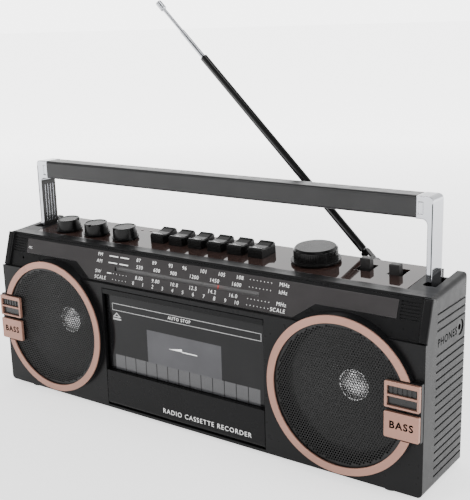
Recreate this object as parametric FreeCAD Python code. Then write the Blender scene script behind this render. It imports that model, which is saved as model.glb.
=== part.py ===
"""Portable radio-cassette player: one STEP file per separate piece.

Millimetres, +Z up, the front faces -Y, X runs along the cabinet. The origin is on the surface the
feet stand on, under the middle of the cabinet.
"""
import FreeCAD, Part
import math
import os

V = FreeCAD.Vector
X_AXIS, Y_AXIS, Z_AXIS = V(1, 0, 0), V(0, 1, 0), V(0, 0, 1)
SIDES = {"left": -1, "right": 1}

# ---- cabinet ----
WIDTH = 340.0
DEPTH = 58.0
FOOT_H = 2.5
WALL = 2.4
HALF = WIDTH / 2
FRONT, REAR = -DEPTH / 2, DEPTH / 2
UNDER = FOOT_H
STEP_Z = 93.4             # top of the upright lower front
STEP_BACK = 3.0           # the sloped fascia starts this far behind the lower front
FASCIA_TOP = (-18.6, 117.4)
SEAM_Y = -15.4            # where the front shell meets the rear shell
DECK_FRONT = (-10.0, 117.7)
DECK_REAR = (28.6, 120.8)
CORNER_R = 3.0

# ---- fascia ----
FASCIA_FOOT = (FRONT + STEP_BACK, STEP_Z)
MIC_HOLE = (-152.0, 7.0)  # along the cabinet and up the fascia
DIAL_THICK = 1.2
POST_W = 5.5              # raised strip at each end of the fascia
POST_PROUD = 2.0
RIB_PITCH = 1.9
RIB_COUNT = 6

# ---- speakers ----
SPEAKER_X, SPEAKER_Z = 118.2, 54.25
RING_R, RING_BORE_R = 48.5, 43.8
DRUM_FACE = FRONT - 3.5
RING_THICK = 1.0
BORE_R = 41.0
DRUM_BACK = -21.4         # the speaker's flange seats here
FLANGE_R = 46.0
DUST_CAP_R = 9.6
BADGE_X0, BADGE_X1 = 148.5, 169.6
BADGE_Z = {"plate": (38.1, 53.5), "frame": (56.0, 71.5)}
BADGE_THICK = 2.1

# ---- cassette door and mechanism ----
MECH_X = -1.9             # centre line of the cassette, the door and the keys
DOOR_W = 132.8
DOOR_TOP = 90.0
DOOR_PIVOT = (-26.5, 7.4)
DOOR_R = 2.5
PANEL_TOP = 30.8          # top of the door's solid lower panel
LIP_Z = 86.4              # underside of the finger lip along the door's top
WINDOW_Y = -25.4
REEL_SPAN = 42.5
REEL_Z = 50.0
CHASSIS_Y = -10.0
CHASSIS_T = 1.2

# ---- controls on the deck ----
KEY_NAMES = ("record", "play", "rewind", "fast_forward", "stop_eject", "pause")
KEY_PITCH = 16.35
KEY_W = 11.0
KEY_FRONT_Y = 1.2
KEY_DEPTH = 16.0
SMALL_KNOBS = {"volume": -127.2, "tone": -99.4, "balance": -71.6}
SMALL_KNOB_SET = {"volume": 110, "tone": 12, "balance": -18}   # marks, degrees round from the front
SMALL_KNOB_Y = 1.0
SMALL_KNOB_R = 8.5
TUNING_XY = (78.3, 11.3)
TUNING_R = 14.0
SWITCHES = {"function": (112.4, 11.0), "band": (133.4, 7.1)}
SWITCH_SLOT = (10.0, 12.4)
SWITCH_SLOT_Y = 6.8
LAMP_XY = (-70.0, 22.0)
FIT = 0.05                # radial clearance of a running fit

# ---- handle ----
ARM_X0, ARM_X1 = 155.4, 158.8
ARM_Y0, ARM_Y1 = 2.2, 16.2
HANDLE_TOP = 168.4
GRIP_BOTTOM = 155.4
GRIP_END = 148.5
HANDLE_PIVOT = ((ARM_Y0 + ARM_Y1) / 2, 112.5)
WELL_X0, WELL_X1 = ARM_X0 - 0.5, ARM_X1 + 0.6
WELL_Y0 = -1.6            # the arm meets this end when it leans 25 degrees forwards
WELL_FLOOR = 104.0
WELL_WALLS = (1.6, 3.4)   # on the cabinet's inner side and on its outer side
PIN_R = 2.0

# ---- antenna ----
ANT_PIVOT = V(109.0, 31.7, 116.6)
ANT_ANGLE = 44.3          # above horizontal, leaning to the left
ANT_DIR = V(-math.cos(math.radians(ANT_ANGLE)), 0, math.sin(math.radians(ANT_ANGLE)))
TILT_AT = 9.5             # tilt pin, along the rod from the swing pivot
TUBE_FROM, TUBE_TO, TUBE_R = 12.1, 180.3, 2.6
SECTION_TO, SECTION_R = 205.0, 1.6
ROD_TO, ROD_R = 226.0, 1.2

# ---- sockets ----
JACK_YZ = (19.0, 90.3)

# ---- batteries ----
BAY_X = 105.0             # half the length of a row of four cells and its contacts
BAY_Z = (5.2, 32.0)
BAY_Y0 = 0.6
LID_PIVOT = (28.2, 5.4)
LID_T = 1.6

PARTS = {}


# ---------------------------------------------------------------- helpers
def box(x0, x1, y0, y1, z0, z1):
    return Part.makeBox(x1 - x0, y1 - y0, z1 - z0, V(x0, y0, z0))


def cyl(radius, start, direction, length):
    return Part.makeCylinder(radius, length, start, direction)


def disc_y(radius, x, z, y0, y1):
    return cyl(radius, V(x, y0, z), Y_AXIS, y1 - y0)


def fuse(*solids):
    whole = solids[0].multiFuse(list(solids[1:]))
    return whole.removeSplitter()


def cut(solid, *tools):
    for tool in tools:
        solid = solid.cut(tool)
    return solid


def prism(points, along):
    wire = Part.makePolygon(points + [points[0]])
    return Part.Face(wire).extrude(along)


def yz_prism(profile, x0, x1):
    return prism([V(x0, y, z) for y, z in profile], V(x1 - x0, 0, 0))


def mirrored(solid):
    return solid.mirror(V(0, 0, 0), X_AXIS)


def sided(solid, side):
    return solid if side > 0 else mirrored(solid)


def round_edges(solid, radius, keep):
    edges = [e for e in solid.Edges if keep(e)]
    return solid.makeFillet(radius, edges) if edges else solid


def is_along(edge, axis, tolerance=1e-3):
    a, b = edge.Vertexes[0].Point, edge.Vertexes[-1].Point
    line = b - a
    return line.Length > tolerance and abs(line.normalize().dot(axis)) > 1 - tolerance


def keep(name, *solids):
    """Hold the finished piece; several solids make a group in one node."""
    shape = solids[0] if len(solids) == 1 else Part.makeCompound(list(solids))
    if shape.ShapeType == "Compound" and len(shape.Solids) == 1:
        shape = shape.Solids[0]
    PARTS[name] = shape


# ---- the fascia's own plane: (x, distance up the slope, distance out of it) ----
SLOPE = V(0, FASCIA_TOP[0] - FASCIA_FOOT[0], FASCIA_TOP[1] - FASCIA_FOOT[1]).normalize()
SLOPE_OUT = SLOPE.cross(X_AXIS) * -1
if SLOPE_OUT.y > 0:
    SLOPE_OUT = SLOPE_OUT * -1


def on_fascia(x, up, out=0.0):
    return V(x, FASCIA_FOOT[0], FASCIA_FOOT[1]) + SLOPE * up + SLOPE_OUT * out


def fascia_slab(outline, out0, out1):
    points = [on_fascia(x, up, out0) for x, up in outline]
    return prism(points, SLOPE_OUT * (out1 - out0))


# ---- the deck's own plane ----
DECK_RISE = (DECK_REAR[1] - DECK_FRONT[1]) / (DECK_REAR[0] - DECK_FRONT[0])
DECK_TILT = math.degrees(math.atan(DECK_RISE))


def deck_z(y):
    return DECK_FRONT[1] + DECK_RISE * (y - DECK_FRONT[0])


def on_deck(solid, x, y):
    """Stand a solid made around the origin on the deck at (x, y), square to the deck."""
    placed = solid.copy()
    placed.rotate(V(0, 0, 0), X_AXIS, DECK_TILT)
    placed.translate(V(x, y, deck_z(y)))
    return placed


def key_x(index):
    return MECH_X + (index - (len(KEY_NAMES) - 1) / 2) * KEY_PITCH


# ---------------------------------------------------------------- cabinet
OUTER = [(FRONT, UNDER), (FRONT, STEP_Z), FASCIA_FOOT, FASCIA_TOP, DECK_FRONT, (REAR, DECK_REAR[1]),
         (REAR, UNDER)]
FASCIA_WALL = 3.4
DECK_WALL = 3.2
INNER = [(FRONT + WALL, UNDER + WALL), (FRONT + WALL, STEP_Z - WALL),
         (FASCIA_FOOT[0] + FASCIA_WALL, STEP_Z - WALL), (FASCIA_TOP[0] + FASCIA_WALL, FASCIA_TOP[1] - 3.0),
         (DECK_FRONT[0], DECK_FRONT[1] - DECK_WALL), (REAR - WALL, DECK_REAR[1] - DECK_WALL),
         (REAR - WALL, UNDER + WALL)]


def shell():
    outer = yz_prism(OUTER, -HALF, HALF)
    ends = [e for e in outer.Edges
            if abs(abs(e.CenterOfMass.x) - HALF) < 1e-3
            and e.CenterOfMass.y > FRONT + 1
            and not (abs(e.CenterOfMass.y - (FRONT + STEP_BACK / 2)) < 0.1)
            and not (abs(e.CenterOfMass.y - (FASCIA_FOOT[0] + FASCIA_TOP[0]) / 2) < 0.1)]
    outer = outer.makeFillet(CORNER_R, ends)
    return outer.cut(yz_prism(INNER, -HALF + WALL, HALF - WALL))


def dial_outline(gap=0.0):
    """The dial panel's outline on the fascia: deeper between the speakers than above them."""
    low, mid, top = 0.5 - gap, 10.9 - gap, 21.6 + gap
    end, elbow, foot = 149.5 + gap, 97.6 - gap, 83.4 + gap
    return [(-end, mid), (-elbow, mid), (-foot, low), (foot, low), (elbow, mid), (end, mid), (end, top),
            (-end, top)]


def speaker_drum(side):
    """Round boss that carries the ring: from its face back into the fascia."""
    x = side * SPEAKER_X
    x0, x1 = sorted((side * (BADGE_X0 - 0.6), side * (BADGE_X1 + 0.2)))
    ear = box(x0, x1, DRUM_FACE, FRONT + 0.5, BADGE_Z["plate"][0] - 0.6, BADGE_Z["frame"][1] + 0.6)
    return disc_y(RING_R, x, SPEAKER_Z, DRUM_FACE, DRUM_BACK).fuse(ear)


def speaker_bore(side):
    """Seat for the grille, the hole through the drum and the seat for the speaker's flange."""
    x = side * SPEAKER_X
    mouth = disc_y(RING_BORE_R, x, SPEAKER_Z, DRUM_FACE - 1, DRUM_FACE + 1.6)
    through = disc_y(BORE_R, x, SPEAKER_Z, DRUM_FACE, SEAM_Y + 1)
    flange_seat = disc_y(FLANGE_R + 0.4, x, SPEAKER_Z, DRUM_BACK, SEAM_Y + 1)
    return fuse(mouth, through, flange_seat)


def end_post(side):
    """Raised rounded strip at the end of the fascia."""
    x0, x1 = side * HALF, side * (HALF - POST_W)
    outline = [(x0, 0.0), (x1, 0.0), (x1, 24.6), (x0, 24.6)]
    post = fascia_slab(outline, -1.0, POST_PROUD)
    edges = [e for e in post.Edges if is_along(e, SLOPE)
             and (e.CenterOfMass - on_fascia(0, 0)).dot(SLOPE_OUT) > 1]
    edges += [e for e in post.Edges if is_along(e, X_AXIS) and e.CenterOfMass.z > 110
              and (e.CenterOfMass - on_fascia(0, 0)).dot(SLOPE_OUT) > 1]
    return post.makeFillet(1.2, edges)


def rib_grooves(side):
    """Short level grooves between the dial panel and the end post."""
    x0, x1 = side * 151.2, side * 163.0
    grooves = []
    for i in range(RIB_COUNT):
        up = 11.2 + i * RIB_PITCH
        grooves.append(fascia_slab([(x0, up), (x1, up), (x1, up + 0.8), (x0, up + 0.8)], -0.9, 1.0))
    return grooves


def door_pins():
    """Two short pins on lugs, one each side of the door, that it swings on."""
    half = DOOR_W / 2 + 0.5
    py, pz = DOOR_PIVOT
    solids = []
    for side in SIDES.values():
        wall = MECH_X + side * half
        x0, x1 = sorted((wall + side * 4.0, wall - side * 7.0))
        solids.append(cyl(1.3 - FIT, V(x0, py, pz), X_AXIS, x1 - x0))
        x0, x1 = sorted((wall, wall + side * 4.0))
        solids.append(box(x0, x1, FRONT + 1.0, py + 2.5, UNDER + 1.0, pz + 2.5))
    return solids


def front_cabinet():
    body = shell().common(box(-HALF, HALF, FRONT - 1, SEAM_Y, 0, 200))
    bosses = [disc_y(3.4, x, z, FRONT + WALL - 0.2, SEAM_Y) for x, z in case_screw_places()]
    drums = [speaker_drum(side) for side in SIDES.values()]
    posts = [end_post(side) for side in SIDES.values()]
    body = fuse(body, *drums, *posts, *bosses)
    body = cut(body, *[speaker_bore(side) for side in SIDES.values()])
    half = DOOR_W / 2 + 0.5
    body = body.cut(box(MECH_X - half, MECH_X + half, FRONT - 1, FRONT + 5,
                        DOOR_PIVOT[1] - DOOR_R - 0.4, DOOR_TOP + 0.5))
    body = fuse(body, *door_pins())
    body = body.cut(fascia_slab(dial_outline(0.25), -DIAL_THICK - 0.1, 2.0))
    slot = [(-63.0, 8.6), (60.0, 8.6), (60.0, 12.6), (-63.0, 12.6)]
    body = body.cut(fascia_slab(slot, -6.0, 0.0))
    for side in SIDES.values():
        body = cut(body, *rib_grooves(side))
    line_x = HALF - POST_W
    line = [(-line_x, 23.4), (line_x, 23.4), (line_x, 23.9), (-line_x, 23.9)]
    body = body.cut(fascia_slab(line, -0.6, 1.0))
    body = body.cut(cyl(1.0, on_fascia(*MIC_HOLE, -6.0), SLOPE_OUT, 8.0))
    holes = [disc_y(1.25, x, z, FRONT + WALL + 2, SEAM_Y + 1) for x, z in case_screw_places()]
    keep("front_cabinet", cut(body, *holes).removeSplitter())


def case_screw_places():
    """Six long screws join the shells, clear of the speakers, the door and the battery bay."""
    return [(side * x, z) for side in SIDES.values() for x, z in ((162.5, 12.0), (162.5, 82.5), (76.0, 90.0))]


def side_grooves():
    """Level cooling grooves round the sides of the rear shell, with a gap for the headphone socket."""
    pitch, first, count, skipped = 4.86, 9.8, 21, (16, 17)
    rows = [first + i * pitch for i in range(count) if i not in skipped]
    tools = []
    for z in rows:
        for side in SIDES.values():
            x0, x1 = sorted((side * (HALF - 0.8), side * (HALF + 1)))
            tools.append(box(x0, x1, SEAM_Y + 1.2, REAR + 1, z - 0.6, z + 0.6))
    return tools


def handle_well(side):
    """Narrow slot for the foot of a handle arm, open at the rear, with a bevelled outer rail."""
    x0, x1 = WELL_X0 - WELL_WALLS[0], WELL_X1 + WELL_WALLS[1]
    front, back = WELL_Y0 - WELL_WALLS[0], REAR - 0.5
    block = yz_prism([(front, WELL_FLOOR - 1.6), (front, deck_z(front) - 0.5), (back, deck_z(back) - 0.5),
                      (back, WELL_FLOOR - 1.6)], x0, x1)
    space = box(WELL_X0, WELL_X1, WELL_Y0, REAR - WALL, WELL_FLOOR, 140)
    notch = box(WELL_X0, WELL_X1, REAR - WALL - 1, REAR + 1, deck_z(REAR) - 5.0, 140)
    rail = [V(x, 0, z) for x, z in ((0, -4.4), (4.2, 0.6), (4.2, 3.0), (-0.5, 3.0), (-0.5, -4.4))]
    bevel = on_deck(prism(rail, V(0, REAR - WELL_Y0 + 2, 0)), WELL_X1, WELL_Y0)
    bore = cyl(PIN_R, V(x0 - 1, *HANDLE_PIVOT), X_AXIS, x1 - x0)
    return sided(block, side), [sided(tool, side) for tool in (space, notch, bevel, bore)]


def deck_openings():
    """Holes through the deck for the keys, knob shafts and switch levers."""
    tools = []
    for i in range(len(KEY_NAMES)):
        hole = box(-KEY_W / 2 - 0.3, KEY_W / 2 + 0.3, -0.3, KEY_DEPTH + 0.3, -12, 6)
        tools.append(on_deck(hole, key_x(i), KEY_FRONT_Y))
    for x in SMALL_KNOBS.values():
        tools.append(on_deck(cyl(3.6, V(0, 0, -12), Z_AXIS, 18), x, SMALL_KNOB_Y))
    tools.append(on_deck(cyl(4.0, V(0, 0, -12), Z_AXIS, 18), *TUNING_XY))
    for x, _ in SWITCHES.values():
        slot = box(-SWITCH_SLOT[0] / 2, SWITCH_SLOT[0] / 2, 0, SWITCH_SLOT[1], -12, 6)
        tools.append(on_deck(slot, x, SWITCH_SLOT_Y))
    return tools


def deck_plate_solid(thick, gap=0.0):
    length = math.hypot(DECK_REAR[0] - DECK_FRONT[0], DECK_REAR[1] - DECK_FRONT[1])
    slab = box(-149.5 - gap, 149.5 + gap, -gap, length + gap, -thick, 0)
    return on_deck(slab, 0, DECK_FRONT[0])


def battery_bay():
    """Tray for four cells in line along the bottom rear, open to the rear."""
    z0, z1 = BAY_Z
    outer = box(-BAY_X - 2, BAY_X + 2, BAY_Y0 - 2, REAR - WALL + 0.2, z0 - 2, z1 + 2)
    space = box(-BAY_X, BAY_X, BAY_Y0, REAR + 1, z0, z1)
    return outer, space


def rear_cabinet():
    body = shell().common(box(-HALF, HALF, SEAM_Y, REAR + 1, 0, 200))
    tray, tray_space = battery_bay()
    wells = [handle_well(side) for side in SIDES.values()]
    bosses = [disc_y(3.4, x, z, SEAM_Y, REAR - WALL + 0.2) for x, z in case_screw_places()]
    body = fuse(body, tray, *bosses, *[w[0] for w in wells])
    for _, tools in wells:
        body = cut(body, *tools)
    body = body.cut(tray_space)
    body = cut(body, *[disc_y(1.7, x, z, SEAM_Y - 1, REAR + 1) for x, z in case_screw_places()])
    body = cut(body, *[disc_y(3.2, x, z, REAR - 3.0, REAR + 1) for x, z in case_screw_places()])
    body = body.cut(deck_plate_solid(1.3, 0.5).fuse(box(-149.5, 149.5, REAR - 1.2, REAR + 1, 119.0, 125)))
    body = cut(body, *deck_openings())
    body = cut(body, *side_grooves())
    body = body.cut(box(-118, 116, REAR - 0.6, REAR + 1, 111.0, 122.0))
    body = body.cut(cyl(1.5, V(ANT_PIVOT.x, REAR - WALL - 1, ANT_PIVOT.z), Y_AXIS, WALL + 2))
    body = body.cut(cyl(4.75, V(HALF - 1.4, *JACK_YZ), X_AXIS, 3))
    body = body.cut(cyl(3.1, V(HALF - WALL - 1, *JACK_YZ), X_AXIS, 6))
    body = body.cut(box(-HALF - 1, -HALF + WALL + 1, 8.0, 20.0, 20.0, 29.0))
    body = body.cut(battery_lid_rebate())
    keep("rear_cabinet", body.removeSplitter())


def battery_lid_rebate():
    """Shallow seat round the tray's mouth for the lid, with a hole for each hinge pin."""
    end, low, top = BAY_X + 2.3, LID_PIVOT[1] - LID_T / 2 - 0.3, BAY_Z[1] + 1.8
    seat = box(-end, end, REAR - LID_T - 0.2, REAR + 1, low, top)
    return seat.fuse(cyl(0.7 + FIT, V(-end - 1.5, *LID_PIVOT), X_AXIS, 2 * end + 3.0))


def battery_door():
    """Lid hinged along its bottom edge on two small pins, with finger ridges near the top."""
    end, top = BAY_X + 2.0, BAY_Z[1] + 1.5
    plate = box(-end, end, REAR - LID_T, REAR, LID_PIVOT[1], top)
    roll = cyl(LID_T / 2, V(-end, *LID_PIVOT), X_AXIS, 2 * end)
    pins = cyl(0.7, V(-end - 1.2, *LID_PIVOT), X_AXIS, 2 * end + 2.4)
    grips = [box(x - 8, x + 8, REAR - 0.5, REAR + 1, z - 0.5, z + 0.5)
             for x in (-80, 80) for z in (19, 22, 25, 28)]
    keep("battery_door", cut(fuse(plate, roll, pins), *grips))


def battery_contacts():
    """Sprung and flat end contacts of the battery tray."""
    plates = []
    z_mid = sum(BAY_Z) / 2
    for side in SIDES.values():
        x0, x1 = sorted((side * BAY_X, side * (BAY_X - 0.5)))
        plates.append(box(x0, x1, 5.0, 23.0, z_mid - 9, z_mid + 9))
        x0, x1 = sorted((side * (BAY_X - 0.5), side * (BAY_X - 4.5)))
        coil = cyl(5.0, V(x0, 14.0, z_mid), X_AXIS, x1 - x0).cut(cyl(4.2, V(x0, 14.0, z_mid), X_AXIS, x1 - x0))
        plates[-1] = plates[-1].fuse(coil)
    keep("battery_contacts", *plates)


def feet():
    solids = []
    for x in (-148, 148):
        for y in (-21, 21):
            foot = cyl(5.5, V(x, y, 0), Z_AXIS, FOOT_H)
            solids.append(foot.makeFillet(0.8, [e for e in foot.Edges if e.CenterOfMass.z < 0.1]))
    keep("feet", *solids)


def case_screws():
    solids = []
    for x, z in case_screw_places():
        shank = disc_y(1.2, x, z, FRONT + WALL + 4, REAR - 3.0)
        head = disc_y(2.8, x, z, REAR - 3.0, REAR - 1.2)
        cross = box(x - 1.6, x + 1.6, REAR - 1.9, REAR - 1, z - 0.3, z + 0.3)
        cross = cross.fuse(box(x - 0.3, x + 0.3, REAR - 1.9, REAR - 1, z - 1.6, z + 1.6))
        solids.append(fuse(shank, head).cut(cross))
    keep("case_screws", *solids)


# ---------------------------------------------------------------- fascia pieces
def dial_panel():
    panel = fascia_slab(dial_outline(), -DIAL_THICK, 0.0)
    window = [(-61.3, 9.3), (58.0, 9.3), (58.0, 11.9), (-61.3, 11.9)]
    panel = panel.cut(fascia_slab(window, -3.0, 1.0))
    keep("dial_panel", panel)


def dial_pointer():
    needle = fascia_slab([(25.6, 8.9), (26.4, 8.9), (26.4, 12.3), (25.6, 12.3)], -1.6, -1.3)
    carrier = fascia_slab([(22.0, 8.9), (30.0, 8.9), (30.0, 12.3), (22.0, 12.3)], -3.4, -1.6)
    keep("dial_pointer", needle.fuse(carrier))


def deck_plate():
    plate = deck_plate_solid(1.2)
    plate = cut(plate, *deck_openings())
    for side in SIDES.values():
        sensor = on_deck(cyl(1.1, V(0, 0, -3), Z_AXIS, 6), LAMP_XY[0] + side * 4.1, LAMP_XY[1])
        plate = plate.cut(sensor)
    keep("deck_plate", plate)


def indicator_lamps():
    solids = []
    for side in SIDES.values():
        solids.append(on_deck(cyl(1.05, V(0, 0, -1.2), Z_AXIS, 1.5), LAMP_XY[0] + side * 4.1, LAMP_XY[1]))
    keep("indicator_lamps", *solids)


# ---------------------------------------------------------------- speakers
def speaker_ring(name, side):
    x = side * SPEAKER_X
    ring = disc_y(RING_R, x, SPEAKER_Z, DRUM_FACE - RING_THICK, DRUM_FACE)
    ring = ring.cut(disc_y(RING_BORE_R, x, SPEAKER_Z, DRUM_FACE - 2, DRUM_FACE + 1))
    z0, z1 = BADGE_Z["plate"][0], BADGE_Z["frame"][1]
    x0, x1 = sorted((side * (BADGE_X0 - 1.0), side * (HALF + 5)))
    ring = ring.cut(box(x0, x1, DRUM_FACE - 3, DRUM_FACE + 1, z0 - 1.2, z1 + 1.2))
    keep(f"speaker_ring_{name}", ring)


def speaker_grille(name, side):
    x = side * SPEAKER_X
    keep(f"speaker_grille_{name}", disc_y(RING_BORE_R - 0.2, x, SPEAKER_Z, DRUM_FACE + 0.4, DRUM_FACE + 1.2))


def revolve_y(profile, x, z):
    """Turn an (r, y) outline about the speaker's own axis."""
    points = [V(x + r, y, z) for r, y in profile]
    face = Part.Face(Part.makePolygon(points + [points[0]]))
    return face.revolve(V(x, 0, z), Y_AXIS, 360)


def speaker_frame(name, side):
    """Pressed basket with the magnet bonded to its back."""
    x = side * SPEAKER_X
    front = DRUM_BACK + 0.1
    bottom = front + 14.0
    basket = revolve_y([(40.2, front), (FLANGE_R, front), (FLANGE_R, front + 1.2), (40.6, front + 1.2),
                        (20.0, bottom), (20.0, bottom + 1.2), (9.0, bottom + 1.2), (9.0, bottom),
                        (19.0, bottom - 1.2), (38.8, front + 1.2)], x, SPEAKER_Z)
    magnet = disc_y(18.0, x, SPEAKER_Z, bottom + 1.2, bottom + 9.0)
    keep(f"speaker_frame_{name}", basket.fuse(magnet))


def speaker_cone(name, side):
    """Shallow paper cone with its rolled edge, voice coil former and domed dust cap."""
    x = side * SPEAKER_X
    front = DRUM_BACK + 0.2
    neck = front + 9.0
    cone = revolve_y([(37.6, front), (39.0, front), (39.0, front + 0.6), (37.8, front + 0.6),
                      (DUST_CAP_R, neck), (8.4, neck), (8.4, neck + 4.0), (7.8, neck + 4.0),
                      (7.8, neck - 0.8), (DUST_CAP_R - 0.4, neck - 0.8)], x, SPEAKER_Z)
    bulge = 4.0
    ball_r = (DUST_CAP_R ** 2 + bulge ** 2) / (2 * bulge)
    middle = V(x, neck - 0.6 + ball_r - bulge, SPEAKER_Z)
    dome = Part.makeSphere(ball_r, middle).cut(Part.makeSphere(ball_r - 0.5, middle))
    dome = dome.common(disc_y(DUST_CAP_R, x, SPEAKER_Z, neck - 10, neck - 0.6))
    keep(f"speaker_cone_{name}", cone.fuse(dome).removeSplitter())


def badge(side):
    """Outer trim of one speaker: a window frame with its bar, a plain plate, and the louvres behind."""
    x0, x1 = sorted((side * BADGE_X0, side * BADGE_X1))
    front, back = DRUM_FACE - BADGE_THICK, DRUM_FACE
    low, high = BADGE_Z["frame"]
    wx0, wx1, wz0, wz1 = x0 + 1.6, x1 - 1.4, low + 1.1, high - 2.6
    frame = box(x0, x1, front, back, low, high)
    frame = round_edges(frame, 0.8, lambda e: is_along(e, Y_AXIS))
    frame = frame.cut(box(wx0, wx1, front - 1, back + 1, wz0, wz1))
    bar = box(wx0 - 0.2, wx1 + 0.2, front + 0.1, back - 0.4, low + 6.6, low + 7.8)
    plate = box(x0, x1, front, back, *BADGE_Z["plate"])
    plate = round_edges(plate, 0.8, lambda e: is_along(e, Y_AXIS))
    louvres = box(wx0 + 0.1, wx1 - 0.1, back - 0.4, back, wz0 + 0.1, wz1 - 0.1)
    pitch = (wx1 - wx0 - 1.0) / 6
    for i in range(6):
        slat_x = wx0 + 1.0 + i * pitch
        louvres = louvres.fuse(box(slat_x, slat_x + pitch - 1.0, back - 0.8, back - 0.4, low + 8.2, wz1 - 0.4))
    return frame.fuse(bar), plate, louvres.removeSplitter()


def badges():
    left, right = (badge(side) for side in (-1, 1))
    for name, a, b in zip(("badge_frames", "badge_plates", "badge_louvres"), left, right):
        keep(name, a, b)


# ---------------------------------------------------------------- cassette door
def cassette_door():
    """Door frame: finger lip on top, solid lower panel, hinge roll at the bottom, arms behind the window."""
    half = DOOR_W / 2
    x0, x1 = MECH_X - half, MECH_X + half
    py, pz = DOOR_PIVOT
    panel = box(x0, x1, FRONT, FRONT + 2.4, pz, PANEL_TOP)
    roll = cyl(DOOR_R, V(x0, py, pz), X_AXIS, x1 - x0)
    lip = box(x0, x1, FRONT, FRONT + 2.0, LIP_Z, DOOR_TOP)
    head = box(x0, x1, FRONT + 1.0, FRONT + 6.0, DOOR_TOP - 2.0, DOOR_TOP)
    arms = [box(a, b, WINDOW_Y, FRONT + 6.0, pz, DOOR_TOP) for a, b in ((x0, x0 + 2.0), (x1 - 2.0, x1))]
    shelf = box(x0, x1, FRONT, FRONT + 4.9, PANEL_TOP - 1.6, PANEL_TOP)
    door = fuse(panel, roll, lip, head, shelf, *arms)
    keep("cassette_door", door.cut(cyl(1.3, V(x0 - 1, py, pz), X_AXIS, x1 - x0 + 2)))


def door_window():
    """Tinted plate set back in the door, between its arms."""
    half = DOOR_W / 2 - 2.1
    keep("door_window", box(MECH_X - half, MECH_X + half, WINDOW_Y, WINDOW_Y + 1.4, PANEL_TOP + 0.1,
                            DOOR_TOP - 2.1))


def cassette_holder():
    """Pair of channels behind the door that grip the cassette's two ends."""
    solids = []
    cassette_half = 50.6
    for side in SIDES.values():
        inner = MECH_X + side * cassette_half
        outer = inner + side * 1.4
        x0, x1 = sorted((inner, outer))
        web = box(x0, x1, WINDOW_Y + 1.5, CHASSIS_Y - 1.0, 20.0, 78.0)
        lip_x = sorted((inner - side * 3.0, outer))
        rear = box(lip_x[0], lip_x[1], CHASSIS_Y - 2.2, CHASSIS_Y - 1.0, 20.0, 70.0)
        foot = box(lip_x[0], lip_x[1], WINDOW_Y + 1.5, CHASSIS_Y - 1.0, 18.6, 20.0)
        solids.append(fuse(web, rear, foot))
    strap = box(MECH_X - cassette_half - 1.4, MECH_X + cassette_half + 1.4, WINDOW_Y + 1.5, WINDOW_Y + 2.5,
                18.6, 24.0)
    keep("cassette_holder", fuse(strap, *solids))


# ---------------------------------------------------------------- tape mechanism
def reel_x(side):
    return MECH_X + side * REEL_SPAN / 2


CAPSTAN_X = MECH_X - 30.0
CAPSTAN_Z = REEL_Z + 27.0
CAPSTAN_R = 1.2
ROLLER_X, ROLLER_R = CAPSTAN_X, 5.0
BRIDGE_TRAVEL = 7.6       # the play key lowers the head bridge by this much
ROLLER_Z = CAPSTAN_Z + CAPSTAN_R + ROLLER_R + BRIDGE_TRAVEL + 0.1
BRIDGE_Z = (89.0, 93.4)
MOTOR_X, MOTOR_Z = MECH_X + 34.0, 68.0
BOARD_Y = (19.5, 21.1)
PULLEY_R = 3.0
FLYWHEEL_R = 17.0


def mech_chassis():
    plate = box(MECH_X - 60, MECH_X + 60, CHASSIS_Y, CHASSIS_Y + CHASSIS_T, 14.0, 96.0)
    for side in SIDES.values():
        plate = plate.cut(disc_y(2.0 + FIT, reel_x(side), REEL_Z, CHASSIS_Y - 1, CHASSIS_Y + 3))
    plate = plate.cut(disc_y(CAPSTAN_R + FIT, CAPSTAN_X, CAPSTAN_Z, CHASSIS_Y - 1, CHASSIS_Y + 3))
    plate = plate.cut(disc_y(4.0, MOTOR_X, MOTOR_Z, CHASSIS_Y - 1, CHASSIS_Y + 3))
    flange = box(MECH_X - 60, MECH_X + 60, CHASSIS_Y, SMALL_KNOB_Y + 18.0, 94.8, 96.0)
    for i in range(len(KEY_NAMES)):
        x = key_x(i)
        flange = flange.cut(box(x - 2.4, x + 2.4, KEY_FRONT_Y + 1.5, KEY_FRONT_Y + 16.0, 90, 100))
    ears = [disc_y(2.4, x, z, CHASSIS_Y + CHASSIS_T, REAR - WALL) for x, z in chassis_posts()]
    whole = fuse(plate, flange, *ears)
    keep("mech_chassis", whole)


def chassis_posts():
    return [(MECH_X + side * 56, z) for side in SIDES.values() for z in (44.0, 90.0)]


def spindle(name, side):
    """Reel spindle: hub with three drive fins in front, gear disc behind the chassis."""
    x = reel_x(side)
    shaft = disc_y(2.0, x, REEL_Z, CHASSIS_Y - 1.0, CHASSIS_Y + CHASSIS_T + 1.0)
    hub = disc_y(2.8, x, REEL_Z, CHASSIS_Y - 8.0, CHASSIS_Y - 0.6)
    nose = Part.makeCone(2.8, 1.2, 2.0, V(x, CHASSIS_Y - 8.0, REEL_Z), V(0, -1, 0))
    fins = []
    for i in range(3):
        fin = box(x - 0.5, x + 0.5, CHASSIS_Y - 7.0, CHASSIS_Y - 0.8, REEL_Z, REEL_Z + 4.2)
        fin.rotate(V(x, 0, REEL_Z), Y_AXIS, i * 120)
        fins.append(fin)
    gear = disc_y(12.0, x, REEL_Z, CHASSIS_Y + CHASSIS_T + 0.4, CHASSIS_Y + CHASSIS_T + 2.6)
    keep(name, fuse(shaft, hub, nose, gear, *fins))


def behind_chassis(radius, x, z, start, end):
    """Disc behind the mechanism's chassis, its ends measured from the plate's rear face."""
    return disc_y(radius, x, z, CHASSIS_Y + CHASSIS_T + start, CHASSIS_Y + CHASSIS_T + end)


def belt_groove(bottom_radius, x, z):
    return behind_chassis(bottom_radius + 3, x, z, 5.0, 6.4).cut(behind_chassis(bottom_radius, x, z, 4.0, 8.0))


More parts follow.
